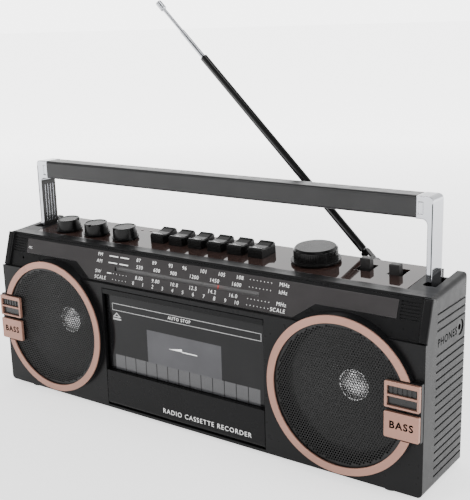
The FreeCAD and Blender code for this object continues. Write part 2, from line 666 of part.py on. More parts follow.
def capstan_flywheel():
    """Capstan shaft and its hollowed flywheel, with the belt's groove round the rim."""
    shaft = disc_y(CAPSTAN_R, CAPSTAN_X, CAPSTAN_Z, CHASSIS_Y - 9.0, CHASSIS_Y + CHASSIS_T + 4.0)
    wheel = behind_chassis(FLYWHEEL_R, CAPSTAN_X, CAPSTAN_Z, 3.2, 8.2)
    hollow = behind_chassis(FLYWHEEL_R - 3, CAPSTAN_X, CAPSTAN_Z, 5.2, 9.2)
    groove = belt_groove(FLYWHEEL_R - 1.0, CAPSTAN_X, CAPSTAN_Z)
    keep("capstan_flywheel", fuse(shaft, cut(wheel, hollow, groove)))


def head_bridge():
    """Sliding plate above the cassette that carries the two heads and the pinch roller."""
    y0, y1 = CHASSIS_Y - 1.6, CHASSIS_Y - 0.6
    plate = box(ROLLER_X - 6, MECH_X + 40, y0, y1, *BRIDGE_Z)
    axle = disc_y(1.0, ROLLER_X, ROLLER_Z, CHASSIS_Y - 8.6, y0 + 0.2)
    keep("head_bridge", fuse(plate, axle))


def tape_heads():
    """Erase head and record/play head: metal blocks with a rounded lower nose."""
    solids = []
    y0, y1 = CHASSIS_Y - 9.9, CHASSIS_Y - 1.6
    for x, width in ((MECH_X, 12.0), (MECH_X + 26, 9.0)):
        block = box(x - width / 2, x + width / 2, y0, y1, 91.0, 94.6)
        solids.append(fuse(block, disc_y(width / 2, x, 91.0, y0, y1)).common(
            box(x - width, x + width, y0, y1, 87.0, 94.6)))
    keep("tape_heads", *solids)


def pinch_roller():
    roller = disc_y(ROLLER_R, ROLLER_X, ROLLER_Z, CHASSIS_Y - 8.4, CHASSIS_Y - 1.8)
    keep("pinch_roller", roller.cut(disc_y(1.0 + FIT, ROLLER_X, ROLLER_Z, CHASSIS_Y - 10, CHASSIS_Y)))


def motor():
    can = disc_y(15.0, MOTOR_X, MOTOR_Z, CHASSIS_Y + CHASSIS_T + 10.5, BOARD_Y[0] - 1.6)
    nose = disc_y(3.0, MOTOR_X, MOTOR_Z, CHASSIS_Y + CHASSIS_T + 9.0, CHASSIS_Y + CHASSIS_T + 10.5)
    bore = disc_y(1.0 + FIT, MOTOR_X, MOTOR_Z, CHASSIS_Y + 5, CHASSIS_Y + CHASSIS_T + 20.0)
    keep("motor", fuse(can, nose).cut(bore))


def motor_pulley():
    shaft = behind_chassis(1.0, MOTOR_X, MOTOR_Z, 3.4, 18.0)
    wheel = behind_chassis(PULLEY_R + 1, MOTOR_X, MOTOR_Z, 3.8, 7.6)
    groove = belt_groove(PULLEY_R - 0.2, MOTOR_X, MOTOR_Z)
    keep("motor_pulley", fuse(shaft, wheel).cut(groove))


def drive_belt():
    """Flat rubber belt round the flywheel's groove and the motor pulley."""
    thick, margin = 0.6, 0.15
    y0, y1 = CHASSIS_Y + CHASSIS_T + 5.3, CHASSIS_Y + CHASSIS_T + 6.1
    a, b = V(CAPSTAN_X, y0, CAPSTAN_Z), V(MOTOR_X, y0, MOTOR_Z)

    def stadium(extra):
        ra, rb = FLYWHEEL_R - 1.0 + margin + extra, PULLEY_R - 0.2 + margin + extra
        line = b - a
        gap = line.Length
        lean = math.acos((ra - rb) / gap)
        base = math.atan2(line.z, line.x)
        points = []
        for sign in (1, -1):
            t = base + sign * lean
            points.append((V(a.x + ra * math.cos(t), y0, a.z + ra * math.sin(t)),
                           V(b.x + rb * math.cos(t), y0, b.z + rb * math.sin(t))))
        (a1, b1), (a2, b2) = points
        far_a = V(a.x - ra * math.cos(base), y0, a.z - ra * math.sin(base))
        far_b = V(b.x + rb * math.cos(base), y0, b.z + rb * math.sin(base))
        edges = [Part.LineSegment(a1, b1).toShape(), Part.Arc(b1, far_b, b2).toShape(),
                 Part.LineSegment(b2, a2).toShape(), Part.Arc(a2, far_a, a1).toShape()]
        return Part.Face(Part.Wire(edges)).extrude(V(0, y1 - y0, 0))

    keep("drive_belt", stadium(thick).cut(stadium(0.0)))


# ---------------------------------------------------------------- controls
def key_cap():
    """Piano key: raised front edge, finger scoop and a rear hump."""
    profile = [(0, -2.2), (0, 5.9), (0.6, 6.5), (2.0, 6.4), (5.0, 5.7), (9.0, 5.7), (12.5, 6.6), (14.6, 7.4),
               (16.0, 6.6), (16.0, -2.2)]
    cap = prism([V(-KEY_W / 2, y, z) for y, z in profile], V(KEY_W, 0, 0))
    edges = [e for e in cap.Edges if e.CenterOfMass.z > 5 and abs(abs(e.CenterOfMass.x) - KEY_W / 2) < 0.01]
    return cap.makeChamfer(0.7, edges)


def keys():
    for i, name in enumerate(KEY_NAMES):
        stem = box(-2.0, 2.0, 3.0, 11.0, -24.0, -2.2)
        keep(f"{name}_key", on_deck(key_cap().fuse(stem), key_x(i), KEY_FRONT_Y))


def small_knob():
    body = Part.makeCone(SMALL_KNOB_R + 0.2, SMALL_KNOB_R - 0.2, 7.1, V(0, 0, 1.9))
    body = round_edges(body, 0.5, lambda e: e.CenterOfMass.z > 8.9)
    flange = cyl(SMALL_KNOB_R + 1.1, V(0, 0, 1.0), Z_AXIS, 0.9)
    neck = cyl(SMALL_KNOB_R - 0.3, V(0, 0, 0.35), Z_AXIS, 0.7)
    knob = fuse(body, flange, neck)
    dish = cyl(SMALL_KNOB_R - 1.4, V(0, 0, 8.7), Z_AXIS, 1.0)
    mark = box(-1.1, 1.1, -SMALL_KNOB_R - 1, -SMALL_KNOB_R + 2.4, 7.8, 9.5)
    socket = cyl(3.0, V(0, 0, -1), Z_AXIS, 7.0)
    return cut(knob, dish, mark, socket)


def knob_shaft(radius, top):
    return cyl(radius, V(0, 0, -5.0), Z_AXIS, top + 5.0)


def small_knobs():
    for name, x in SMALL_KNOBS.items():
        knob = small_knob().fuse(knob_shaft(3.0, 6.0))
        knob.rotate(V(), Z_AXIS, SMALL_KNOB_SET[name])
        keep(f"{name}_knob", on_deck(knob, x, SMALL_KNOB_Y))


def potentiometers():
    """Rotary controls under the deck, one below each small knob."""
    solids = []
    for x in SMALL_KNOBS.values():
        can = cyl(8.0, V(0, 0, -12.5), Z_AXIS, 7.3)
        bush = cyl(3.4, V(0, 0, -5.2), Z_AXIS, 2.6).cut(cyl(3.0 + FIT, V(0, 0, -6), Z_AXIS, 5))
        tags = box(-6, 6, -12.0, -7.0, -12.0, -11.4)
        bore = cyl(3.0 + FIT, V(0, 0, -6.0), Z_AXIS, 4)
        solids.append(on_deck(fuse(can, bush, tags).cut(bore), x, SMALL_KNOB_Y))
    keep("potentiometers", *solids)


def tuning_knob():
    top = 10.0
    body = cyl(TUNING_R, V(0, 0, 2.2), Z_AXIS, top - 2.2)
    body = body.makeChamfer(1.4, [e for e in body.Edges if e.CenterOfMass.z > top - 0.1])
    ribs = []
    count = 60
    for i in range(count):
        angle = 2 * math.pi * i / count
        ribs.append(cyl(0.35, V((TUNING_R + 0.1) * math.cos(angle), (TUNING_R + 0.1) * math.sin(angle), 2.2),
                        Z_AXIS, top - 4.2))
    body = cut(body, *ribs)
    flange = cyl(TUNING_R + 1.8, V(0, 0, 1.1), Z_AXIS, 1.1)
    neck = cyl(TUNING_R - 1, V(0, 0, 0.35), Z_AXIS, 0.8)
    shaft = knob_shaft(3.5, 3.0)
    keep("tuning_knob", on_deck(fuse(body, flange, neck, shaft), *TUNING_XY))


def tuning_capacitor():
    can = box(-11, 11, -11, 11, -20.0, -5.4)
    bore = cyl(3.5 + FIT, V(0, 0, -8), Z_AXIS, 5)
    keep("tuning_capacitor", on_deck(can.cut(bore), *TUNING_XY))


def switches():
    for name, (x, y) in SWITCHES.items():
        lever = box(-3.25, 3.25, 0, 4.7, -4.2, 6.4)
        lever = lever.makeFillet(0.5, [e for e in lever.Edges if e.CenterOfMass.z > 6.3])
        slider = box(-4.6, 4.6, -0.6, 5.3, -5.4, -3.9)
        keep(f"{name}_switch", on_deck(lever.fuse(slider), x, y))


# ---------------------------------------------------------------- handle
def arm_outline():
    """Front view of the right arm: an upright with a short stub under the grip."""
    return [(ARM_X0, HANDLE_PIVOT[1]), (ARM_X0, GRIP_BOTTOM), (GRIP_END, GRIP_BOTTOM), (GRIP_END, HANDLE_TOP),
            (ARM_X1, HANDLE_TOP), (ARM_X1, HANDLE_PIVOT[1])]


def handle_arm(name, side):
    depth = ARM_Y1 - ARM_Y0
    py, pz = HANDLE_PIVOT
    arm = prism([V(x, ARM_Y0, z) for x, z in arm_outline()], V(0, depth, 0))
    arm = round_edges(arm, 3.0, lambda e: is_along(e, Y_AXIS) and abs(e.CenterOfMass.x - ARM_X1) < 0.1
                      and e.CenterOfMass.z > HANDLE_TOP - 1)
    arm = round_edges(arm, 3.5, lambda e: is_along(e, Y_AXIS) and abs(e.CenterOfMass.x - ARM_X0) < 0.1
                      and abs(e.CenterOfMass.z - GRIP_BOTTOM) < 0.1)
    hub = cyl(depth / 2, V(ARM_X0, py, pz), X_AXIS, ARM_X1 - ARM_X0)
    arm = arm.fuse(hub)
    ribs = []
    for i in range(4):
        y = ARM_Y0 + 2.6 + i * 2.6
        ribs.append(box(ARM_X0 - 1, ARM_X0 + 0.7, y, y + 1.2, 122.0, 150.0))
    notch = box(GRIP_END + 1.0, GRIP_END + 4.0, ARM_Y0 - 1, ARM_Y0 + 0.6, 158.0, 165.0)
    bore = cyl(PIN_R + FIT, V(ARM_X0 - 1, py, pz), X_AXIS, 10)
    arm = cut(arm, notch, bore, *ribs).removeSplitter()
    keep(f"handle_arm_{name}", sided(arm, side))


def handle_grip():
    grip = box(-GRIP_END, GRIP_END, ARM_Y0, ARM_Y1, GRIP_BOTTOM, HANDLE_TOP)
    keep("handle_grip", round_edges(grip, 1.8, lambda e: is_along(e, X_AXIS)))


def handle_pivots():
    solids = []
    for side in SIDES.values():
        length = WELL_X1 - WELL_X0 + 2 * WELL_WALLS[0]
        pin = cyl(PIN_R, V(WELL_X0 - WELL_WALLS[0], *HANDLE_PIVOT), X_AXIS, length)
        solids.append(sided(pin, side))
    keep("handle_pivots", *solids)


# ---------------------------------------------------------------- antenna
ANT_TILT_AXIS = ANT_DIR.cross(Y_AXIS)


def along_rod(distance):
    return ANT_PIVOT + ANT_DIR * distance


def rod(radius, start, end):
    return cyl(radius, along_rod(start), ANT_DIR, end - start)


def rod_block(start, end, half_across, half_y, offset=0.0):
    """Block in line with the rod, offset across it along the tilt axis."""
    middle = along_rod(start) + ANT_TILT_AXIS * offset
    corners = [middle + ANT_TILT_AXIS * (sa * half_across) + Y_AXIS * (sy * half_y)
               for sa, sy in ((-1, -1), (1, -1), (1, 1), (-1, 1))]
    return prism(corners, ANT_DIR * (end - start))


def antenna_screw():
    """Shouldered screw in the rear wall that the antenna swings on."""
    shank = cyl(1.5, V(ANT_PIVOT.x, REAR - WALL, ANT_PIVOT.z), Y_AXIS, 7.4)
    head = cyl(3.0, V(ANT_PIVOT.x, 33.3, ANT_PIVOT.z), Y_AXIS, 1.3)
    slot = box(ANT_PIVOT.x - 4, ANT_PIVOT.x + 4, 34.0, 35.0, ANT_PIVOT.z - 0.35, ANT_PIVOT.z + 0.35)
    keep("antenna_screw", fuse(shank, head).cut(slot))


def antenna_swivel():
    """Barrel on the screw with a fork that the rod tilts in."""
    barrel = cyl(4.2, V(ANT_PIVOT.x, 29.4, ANT_PIVOT.z), Y_AXIS, 3.8)
    neck = rod_block(3.0, TILT_AT, 2.6, 2.0)
    neck = neck.fuse(cyl(2.0, along_rod(TILT_AT) - ANT_TILT_AXIS * 2.6, ANT_TILT_AXIS, 5.2))
    slot = rod_block(6.0, TILT_AT + 4, 1.25, 4.0)
    pin = cyl(0.8, along_rod(TILT_AT) - ANT_TILT_AXIS * 2.6, ANT_TILT_AXIS, 5.2)
    bore = cyl(1.5 + FIT, V(ANT_PIVOT.x, 28, ANT_PIVOT.z), Y_AXIS, 7)
    keep("antenna_swivel", fuse(fuse(barrel, neck).cut(slot), pin).cut(bore))


def antenna_tube():
    tube = rod(TUBE_R, TUBE_FROM, TUBE_TO)
    bore = rod(SECTION_R + 0.45, TUBE_FROM + 6, TUBE_TO - 2)
    mouth = rod(SECTION_R + FIT, TUBE_FROM + 6, TUBE_TO + 1)
    tongue = rod_block(TILT_AT, TUBE_FROM + 0.4, 1.1, 1.9)
    eye = cyl(1.9, along_rod(TILT_AT) - ANT_TILT_AXIS * 1.1, ANT_TILT_AXIS, 2.2)
    tilt_bore = cyl(0.8 + FIT, along_rod(TILT_AT) - ANT_TILT_AXIS * 3, ANT_TILT_AXIS, 6)
    tube = cut(tube, bore, mouth)
    keep("antenna_tube", fuse(tube, tongue, eye).cut(tilt_bore))


def antenna_section():
    start = 50.0
    tube = fuse(rod(SECTION_R, start, SECTION_TO), rod(SECTION_R + 0.4, start, start + 4))
    bore = rod(ROD_R + 0.15, start + 2, SECTION_TO - 2)
    mouth = rod(ROD_R + FIT, start + 2, SECTION_TO + 1)
    keep("antenna_section", cut(tube, bore, mouth))


def antenna_rod():
    """Innermost rod with its tip button."""
    start = 70.0
    tip = rod(2.2, ROD_TO, ROD_TO + 7.0)
    tip = tip.makeFillet(0.8, [e for e in tip.Edges if e.Length > 10])
    keep("antenna_rod", fuse(rod(ROD_R, start, ROD_TO), rod(ROD_R + 0.1, start, start + 4), tip))


# ---------------------------------------------------------------- electrics
def main_board():
    """Circuit board across the back, with its larger parts standing forward."""
    front, back = BOARD_Y
    board = box(-96, 96, front, back, 42.0, 97.0)
    capacitors = [disc_y(4.0 + (i % 2) * 1.5, x, 60.0, 8.0, front) for i, x in enumerate((-84, -68, 64, 84))]
    chip = box(-38, -22, front - 4.0, front, 60.0, 68.0)
    coil_can = box(72, 92, front - 7.5, front, 70.0, 80.0)
    board = fuse(board, chip, coil_can, *capacitors)
    posts = [disc_y(3.0, x, z, front - 1, back + 1) for x, z in chassis_posts()]
    bosses = [disc_y(3.9, x, z, front - 1, back + 1) for x, z in case_screw_places()]
    keep("main_board", cut(board, *posts, *bosses))


def phones_jack():
    """Headphone socket: collar in a round recess, blind barrel behind it."""
    y, z = JACK_YZ
    collar = cyl(4.7, V(HALF - 1.4, y, z), X_AXIS, 0.9)
    barrel = cyl(3.0, V(HALF - 16.0, y, z), X_AXIS, 15.0)
    bore = cyl(1.8, V(HALF - 15.0, y, z), X_AXIS, 16.0)
    keep("phones_jack", fuse(collar, barrel).cut(bore))


def power_inlet():
    """Two-pin mains inlet on the left side."""
    shell_box = box(-HALF, -HALF + 14.0, 8.1, 19.9, 20.1, 28.9)
    cavity = box(-HALF - 1, -HALF + 11.0, 9.3, 18.7, 21.3, 27.7)
    pins = [cyl(1.1, V(-HALF + 3.0, y, 24.5), X_AXIS, 10) for y in (11.4, 16.6)]
    keep("power_inlet", fuse(shell_box.cut(cavity), *pins))


def build():
    front_cabinet()
    rear_cabinet()
    battery_door()
    battery_contacts()
    feet()
    case_screws()
    dial_panel()
    dial_pointer()
    deck_plate()
    indicator_lamps()
    for name, side in SIDES.items():
        speaker_ring(name, side)
        speaker_grille(name, side)
        speaker_frame(name, side)
        speaker_cone(name, side)
        handle_arm(name, side)
    badges()
    cassette_door()
    door_window()
    cassette_holder()
    mech_chassis()
    spindle("supply_spindle", -1)
    spindle("takeup_spindle", 1)
    capstan_flywheel()
    head_bridge()
    tape_heads()
    pinch_roller()
    motor()
    motor_pulley()
    drive_belt()
    keys()
    small_knobs()
    potentiometers()
    tuning_knob()
    tuning_capacitor()
    switches()
    handle_grip()
    handle_pivots()
    antenna_screw()
    antenna_swivel()
    antenna_tube()
    antenna_section()
    antenna_rod()
    main_board()
    phones_jack()
    power_inlet()


def write_parts():
    os.makedirs("parts", exist_ok=True)
    for name, shape in PARTS.items():
        shape.exportStep(f"parts/{name}.step")
        state = "valid" if shape.isValid() else "INVALID"
        print(name, len(shape.Solids), "solids", round(shape.Volume), "mm3", state)
    print(len(PARTS), "nodes")


build()
write_parts()
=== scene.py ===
import math

import bmesh
import bpy
from mathutils import Matrix, Vector


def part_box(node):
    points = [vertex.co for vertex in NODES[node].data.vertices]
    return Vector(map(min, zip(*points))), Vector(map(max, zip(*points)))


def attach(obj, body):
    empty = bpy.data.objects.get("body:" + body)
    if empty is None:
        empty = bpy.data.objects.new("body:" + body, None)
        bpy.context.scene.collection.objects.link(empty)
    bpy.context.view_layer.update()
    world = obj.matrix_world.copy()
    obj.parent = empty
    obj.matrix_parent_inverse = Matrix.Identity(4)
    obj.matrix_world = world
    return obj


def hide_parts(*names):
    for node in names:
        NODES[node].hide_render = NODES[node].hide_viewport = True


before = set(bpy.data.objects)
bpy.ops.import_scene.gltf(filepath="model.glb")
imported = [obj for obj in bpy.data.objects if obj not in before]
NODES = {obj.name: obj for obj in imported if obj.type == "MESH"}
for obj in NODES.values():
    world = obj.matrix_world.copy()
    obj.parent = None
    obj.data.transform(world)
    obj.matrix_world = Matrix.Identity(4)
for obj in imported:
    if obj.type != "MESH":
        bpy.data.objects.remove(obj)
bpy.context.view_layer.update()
MM = 0.001
SIDES = {"left": -1, "right": 1}
RIGHT, UP = Vector((1, 0, 0)), Vector((0, 0, 1))
PRINT_LIFT = 0.01 * MM      # printed marks stand this far off the surface
FASCIA_LEAN = math.atan2(7.4, 24.0)
DIAL_THICK = 1.2 * MM
DECK_THICK = 1.2 * MM
DUST_CAP_R = 9.7 * MM
NOISE_SPAN = (0.3, 0.7)     # most of a noise texture's values lie between these
SMOOTH_BELOW = math.radians(32)     # edges that turn more than this stay sharp
HOLE_PITCH, HOLE_R, HOLE_SIDES = 1.75 * MM, 0.70 * MM, 12

# ---- stage, in metres and watts
FLOOR_REACH = 60.0
FLOOR_FADE = (0.25, 1.5)    # the floor's glow grows between these distances from the origin
FLOOR_GLOW = (1.4, 4.0)     # near the player and far away
HAZE = 0.42                 # the world's brightness above the horizon band, as a share of it
CEILING = 0.05
WORLD_FADE = (-0.4, 0.5)    # the world's glow grows between these parts of a direction's Y
WORLD_GLOW = (1.2, 5.0)     # in front of the player and behind it
LIT_POINT = (0, 0, 0.08)
LAMPS = {                   # place, width, height, power
    "key_light": ((-0.9, -1.6, 1.5), 1.0, 1.0, 22),
    "right_light": ((1.9, 0.1, 0.6), 1.4, 1.4, 34),
    "top_light": ((0.1, 0.1, 1.9), 1.4, 0.8, 16),
}
CAMERA_AT = Vector((356.8, -458.9, 264.2)) * MM
CAMERA_TARGET = Vector((45.34, -29.0, 131.21)) * MM
CAMERA_ROLL = math.radians(-1.55)
LENS = 65.18


# ---------------------------------------------------------------- materials
def node_material(name):
    material = bpy.data.materials.new(name)
    material.use_nodes = True
    return material, material.node_tree, material.node_tree.nodes["Principled BSDF"]


def noise(tree, scale, detail=3.0):
    """Solid noise in the part's own space, so it stays put when a piece moves."""
    where = tree.nodes.new("ShaderNodeTexCoord")
    texture = tree.nodes.new("ShaderNodeTexNoise")
    texture.inputs["Scale"].default_value = scale
    texture.inputs["Detail"].default_value = detail
    tree.links.new(where.outputs["Object"], texture.inputs["Vector"])
    return texture.outputs["Fac"]


def map_range(tree, source, result):
    """Node that maps one range of numbers to another."""
    node = tree.nodes.new("ShaderNodeMapRange")
    node.inputs["From Min"].default_value, node.inputs["From Max"].default_value = source
    node.inputs["To Min"].default_value, node.inputs["To Max"].default_value = result
    return node


def spread(tree, value, low, high):
    """Maps noise to a range of plain numbers."""
    node = map_range(tree, NOISE_SPAN, (low, high))
    tree.links.new(value, node.inputs["Value"])
    return node.outputs["Result"]


def tint(tree, value, dark, light):
    """Maps noise to a range of colours."""
    ramp = tree.nodes.new("ShaderNodeValToRGB")
    ramp.color_ramp.elements[0].position = NOISE_SPAN[0]
    ramp.color_ramp.elements[0].color = (*dark, 1)
    ramp.color_ramp.elements[1].position = NOISE_SPAN[1]
    ramp.color_ramp.elements[1].color = (*light, 1)
    tree.links.new(value, ramp.inputs["Fac"])
    return ramp.outputs["Color"]


def relief(tree, shader, height, strength, depth, edge):
    """Fine surface relief on top of softly rounded edges."""
    bevel = tree.nodes.new("ShaderNodeBevel")
    bevel.samples = 6
    bevel.inputs["Radius"].default_value = edge
    bump = tree.nodes.new("ShaderNodeBump")
    bump.inputs["Strength"].default_value = strength
    bump.inputs["Distance"].default_value = depth
    tree.links.new(height, bump.inputs["Height"])
    tree.links.new(bevel.outputs["Normal"], bump.inputs["Normal"])
    tree.links.new(bump.outputs["Normal"], shader.inputs["Normal"])


def surface(name, colour, roughness, metallic=0.0, coat=0.0, specular=0.5, grain=1500.0, bumpiness=0.15,
            edge=0.35, shade=0.14):
    """Moulded or painted surface: colour and gloss drift a little, and the grain shows as relief."""
    material, tree, shader = node_material(name)
    cloud = noise(tree, 35.0)
    darker = [c * (1 - shade) for c in colour]
    lighter = [c * (1 + shade) for c in colour]
    tree.links.new(tint(tree, cloud, darker, lighter), shader.inputs["Base Color"])
    gloss = spread(tree, noise(tree, 180.0), roughness * 0.88, roughness * 1.12)
    tree.links.new(gloss, shader.inputs["Roughness"])
    shader.inputs["Metallic"].default_value = metallic
    shader.inputs["Specular IOR Level"].default_value = specular
    shader.inputs["Coat Weight"].default_value = coat
    shader.inputs["Coat Roughness"].default_value = 0.05
    relief(tree, shader, noise(tree, grain, 4.0), bumpiness, 0.05 * MM, edge * MM)
    return material


def spun_metal(name, colour, roughness, centre, axis):
    """Metal or plastic turned on a lathe: rings of fine relief round the axis."""
    ring_pitch = 0.45 * MM
    material, tree, shader = node_material(name)
    where = tree.nodes.new("ShaderNodeTexCoord")
    shift = tree.nodes.new("ShaderNodeVectorMath")
    shift.operation = "SUBTRACT"
    shift.inputs[1].default_value = centre
    along = tree.nodes.new("ShaderNodeVectorMath")
    along.operation = "CROSS_PRODUCT"
    along.inputs[1].default_value = axis
    radius = tree.nodes.new("ShaderNodeVectorMath")
    radius.operation = "LENGTH"
    rings = tree.nodes.new("ShaderNodeMath")
    rings.operation = "SINE"
    pitch = tree.nodes.new("ShaderNodeMath")
    pitch.operation = "MULTIPLY"
    pitch.inputs[1].default_value = 2 * math.pi / ring_pitch
    tree.links.new(where.outputs["Object"], shift.inputs[0])
    tree.links.new(shift.outputs["Vector"], along.inputs[0])
    tree.links.new(along.outputs["Vector"], radius.inputs[0])
    tree.links.new(radius.outputs["Value"], pitch.inputs[0])
    tree.links.new(pitch.outputs["Value"], rings.inputs[0])
    cloud = noise(tree, 60.0)
    tree.links.new(tint(tree, cloud, [c * 0.85 for c in colour], [c * 1.15 for c in colour]),
                   shader.inputs["Base Color"])
    tree.links.new(spread(tree, noise(tree, 300.0), roughness * 0.8, roughness * 1.2),
                   shader.inputs["Roughness"])
    shader.inputs["Anisotropic"].default_value = 0.6
    shader.inputs["Specular IOR Level"].default_value = 0.18
    relief(tree, shader, rings.outputs["Value"], 0.04, 0.02 * MM, 0.4 * MM)
    return material


def cone_paper(name, centre, cap_radius):
    """Dark fibrous cone with a silvery dust cap in the middle."""
    material, tree, shader = node_material(name)
    where = tree.nodes.new("ShaderNodeTexCoord")
    flat = tree.nodes.new("ShaderNodeVectorMath")
    flat.operation = "MULTIPLY"
    flat.inputs[1].default_value = (1, 0, 1)
    reach = tree.nodes.new("ShaderNodeVectorMath")
    reach.operation = "DISTANCE"
    reach.inputs[1].default_value = (centre.x, 0, centre.z)
    inside = tree.nodes.new("ShaderNodeMath")
    inside.operation = "LESS_THAN"
    inside.inputs[1].default_value = cap_radius
    blend = tree.nodes.new("ShaderNodeMix")
    blend.data_type = "RGBA"
    tree.links.new(where.outputs["Object"], flat.inputs[0])
    tree.links.new(flat.outputs["Vector"], reach.inputs[0])
    tree.links.new(reach.outputs["Value"], inside.inputs[0])
    tree.links.new(inside.outputs["Value"], blend.inputs["Factor"])
    paper = tint(tree, noise(tree, 900.0), (0.004, 0.004, 0.004), (0.010, 0.010, 0.010))
    silver = tint(tree, noise(tree, 200.0), (0.82, 0.82, 0.83), (0.95, 0.95, 0.95))
    tree.links.new(paper, blend.inputs["A"])
    tree.links.new(silver, blend.inputs["B"])
    tree.links.new(blend.outputs["Result"], shader.inputs["Base Color"])
    tree.links.new(inside.outputs["Value"], shader.inputs["Metallic"])
    shader.inputs["Roughness"].default_value = 0.42
    relief(tree, shader, noise(tree, 1200.0), 0.3, 0.06 * MM, 0.2 * MM)
    return material


def hatched(name, dark, light, pitch):
    """Printed block filled with fine upright lines."""
    material, tree, shader = node_material(name)
    where = tree.nodes.new("ShaderNodeTexCoord")
    wave = tree.nodes.new("ShaderNodeTexWave")
    wave.bands_direction = "X"
    wave.inputs["Scale"].default_value = 1 / (pitch * MM) / 6.28 * 2
    tree.links.new(where.outputs["Object"], wave.inputs["Vector"])
    tree.links.new(tint(tree, wave.outputs["Fac"], dark, light), shader.inputs["Base Color"])
    shader.inputs["Roughness"].default_value = 0.22
    relief(tree, shader, noise(tree, 900.0), 0.05, 0.02 * MM, 0.1 * MM)
    return material


CABINET = surface("cabinet_black", (0.0050, 0.0050, 0.0053), 0.30, specular=0.12, grain=1800.0,
                  bumpiness=0.15,
                  edge=0.3)
REAR = surface("cabinet_rear", (0.0085, 0.0085, 0.009), 0.36, specular=0.13, grain=1800.0,
               bumpiness=0.18, edge=0.4)
DOOR = surface("door_black", (0.0042, 0.0042, 0.0045), 0.26, specular=0.10, grain=1600.0,
               bumpiness=0.10, edge=0.4)
WINDOW = surface("window_tint", (0.0075, 0.0075, 0.008), 0.12, specular=0.16, bumpiness=0.03, edge=0.2)
WINDOW_LIGHT = surface("window_light", (0.062, 0.062, 0.067), 0.22, specular=0.2, bumpiness=0.03,
                       edge=0.1)
BLOCKS = hatched("window_blocks", (0.030, 0.030, 0.032), (0.058, 0.058, 0.062), 0.5)
DECK = surface("deck_brown", (0.036, 0.021, 0.018), 0.05, specular=0.62, grain=400.0,
               bumpiness=0.02, edge=0.2)
DIAL = surface("dial_panel_grey", (0.027, 0.0245, 0.025), 0.16, specular=0.50, bumpiness=0.03, edge=0.3)
STRIP = surface("dial_strip", (0.13, 0.127, 0.127), 0.30, specular=0.3, bumpiness=0.05, edge=0.1)
WHITE = surface("print_white", (0.86, 0.86, 0.85), 0.50, bumpiness=0.05, edge=0.02, shade=0.05)
GREY_PRINT = surface("print_grey", (0.42, 0.42, 0.42), 0.50, bumpiness=0.05, edge=0.02, shade=0.05)
# Dark print, and also the painted dark reflection lines on the handle arms.
DARK_PRINT_AND_REFLECTION = surface("print_and_reflection_dark", (0.003, 0.003, 0.003), 0.90, specular=0.0, bumpiness=0.05, edge=0.02)
RED = surface("pointer_red", (0.50, 0.05, 0.045), 0.35, bumpiness=0.05, edge=0.05)
ROSE = surface("rose_gold", (0.31, 0.17, 0.13), 0.42, metallic=0.45, specular=0.25, grain=2600.0,
               bumpiness=0.10,
               edge=0.25, shade=0.06)
GRILLE = surface("grille_black", (0.0055, 0.0055, 0.0055), 0.40, specular=0.25, bumpiness=0.10,
                 edge=0.05)
# Painted shade: the speaker baskets are coloured near-black instead of their plated steel, so the inside
# seen through the grilles stays dark as if in shade.
BASKET_PAINTED_SHADE = surface("speaker_basket_painted_shade", (0.012, 0.012, 0.012), 0.5, specular=0.2, bumpiness=0.1, edge=0.2)
LOUVRE = surface("louvre_dark", (0.012, 0.012, 0.012), 0.28, specular=0.3, bumpiness=0.05, edge=0.15)
KEY = surface("key_black", (0.004, 0.004, 0.004), 0.24, specular=0.22, grain=2200.0,
              bumpiness=0.06, edge=0.3)
KNOB = surface("knob_black", (0.003, 0.003, 0.003), 0.22, specular=0.15, bumpiness=0.05, edge=0.2)
SWITCH = surface("switch_grey", (0.024, 0.023, 0.023), 0.32, specular=0.2, bumpiness=0.10, edge=0.35)
CHROME = surface("chrome", (0.37, 0.378, 0.40), 0.07, metallic=1.0, grain=300.0, bumpiness=0.01,
                 edge=1.0,
                 shade=0.02)
GRIP = surface("grip_grey", (0.0145, 0.0145, 0.015), 0.34, specular=0.22, grain=2600.0,
               bumpiness=0.15, edge=0.4)
ANTENNA = surface("antenna_black", (0.004, 0.004, 0.004), 0.14, specular=0.35, bumpiness=0.03, edge=0.1)
STEEL = surface("steel", (0.42, 0.42, 0.43), 0.33, metallic=1.0, grain=700.0, bumpiness=0.10, edge=0.2)
BRASS = surface("brass", (0.62, 0.44, 0.18), 0.28, metallic=1.0, grain=700.0, bumpiness=0.08, edge=0.1)
RUBBER = surface("rubber", (0.018, 0.018, 0.018), 0.75, grain=1200.0, bumpiness=0.30, edge=0.3)
INNER = surface("inner_plastic", (0.025, 0.025, 0.026), 0.45, bumpiness=0.2, edge=0.3)
BOARD = surface("circuit_board", (0.20, 0.12, 0.05), 0.50, grain=600.0, bumpiness=0.2, edge=0.1)
LAMP = surface("lamp_lens", (0.05, 0.008, 0.008), 0.12, coat=0.6, bumpiness=0.02, edge=0.2)
STRIP.node_tree.nodes["Principled BSDF"].inputs["Alpha"].default_value = 0.8


